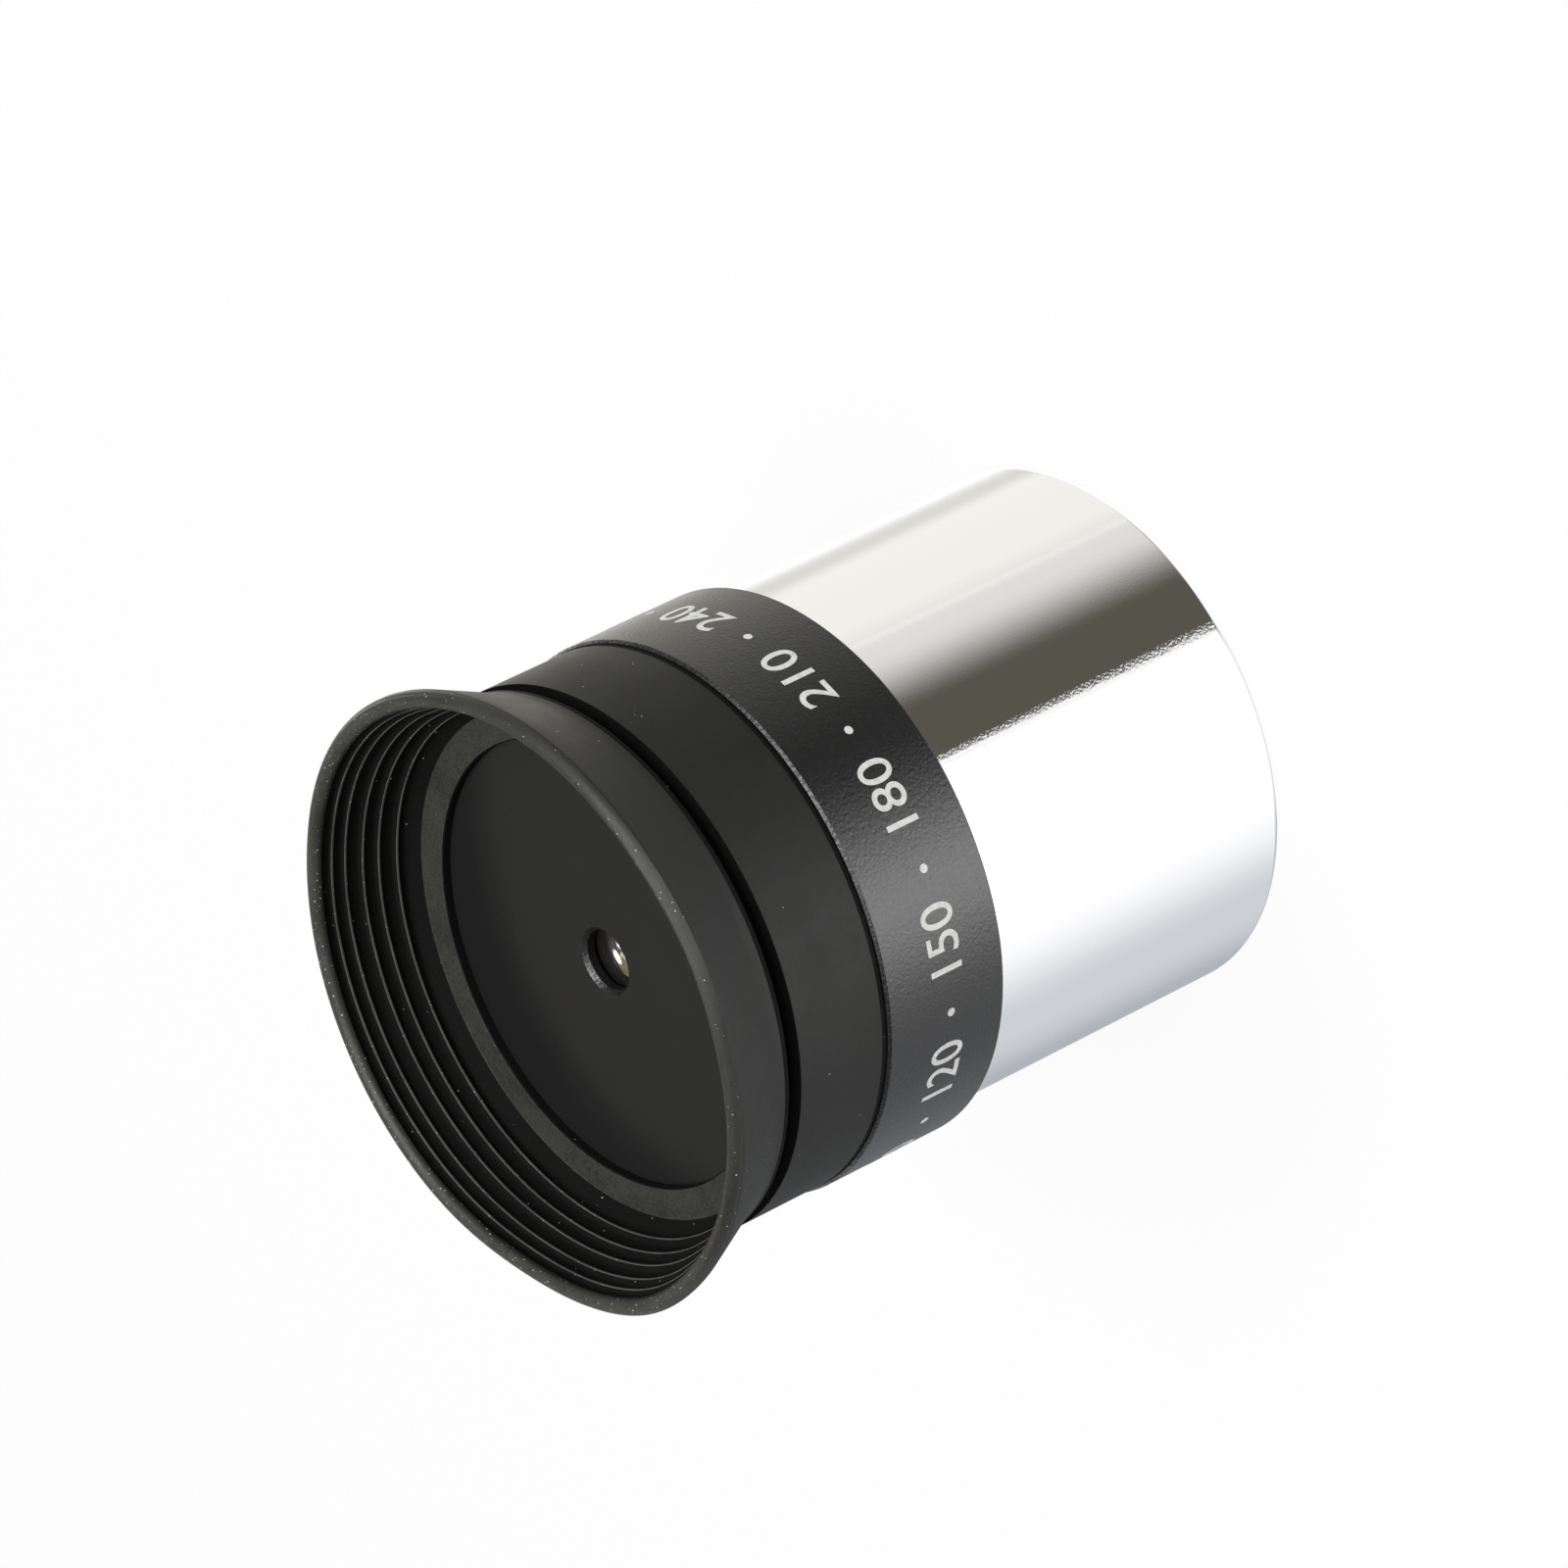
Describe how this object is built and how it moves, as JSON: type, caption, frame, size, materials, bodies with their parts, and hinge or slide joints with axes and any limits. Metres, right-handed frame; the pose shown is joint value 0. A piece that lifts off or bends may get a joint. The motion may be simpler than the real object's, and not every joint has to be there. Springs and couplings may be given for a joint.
{
  "type": "plossl eyepiece",
  "caption": "Short-focus telescope eyepiece: chromed push-fit barrel with a filter thread, black housing with a small eye lens, and a flared rubber eyecup.",
  "frame": {"origin": "centre of the barrel's nose face, on the optical axis", "axes": "+Z is the optical axis, from the telescope side towards the eye; X and Y are any two directions across it, as the part is turned"},
  "size_m": [0.0372, 0.0372, 0.0435],
  "materials": {
    "chromed_barrel": "bright chrome plate on brass, blackened inside",
    "black_housing": "satin black anodised, turned",
    "eyecup_rubber": "matt moulded",
    "blackened_aluminium": "matt black anodised",
    "crown_glass": "polished",
    "flint_glass": "polished, coated on the outer face",
    "white_print": "screen-printed ink"
  },
  "bodies": {
    "root": {"barrel": "chromed_barrel", "housing": "black_housing", "eyecup": "eyecup_rubber", "lens_cell": "blackened_aluminium", "eye_flint_lens": "flint_glass", "eye_crown_lens": "crown_glass", "lens_spacer": "blackened_aluminium", "field_crown_lens": "crown_glass", "field_flint_lens": "flint_glass", "lens_retainer": "blackened_aluminium", "field_stop": "blackened_aluminium", "cell_lock_ring": "blackened_aluminium"}
  },
  "joints": []
}
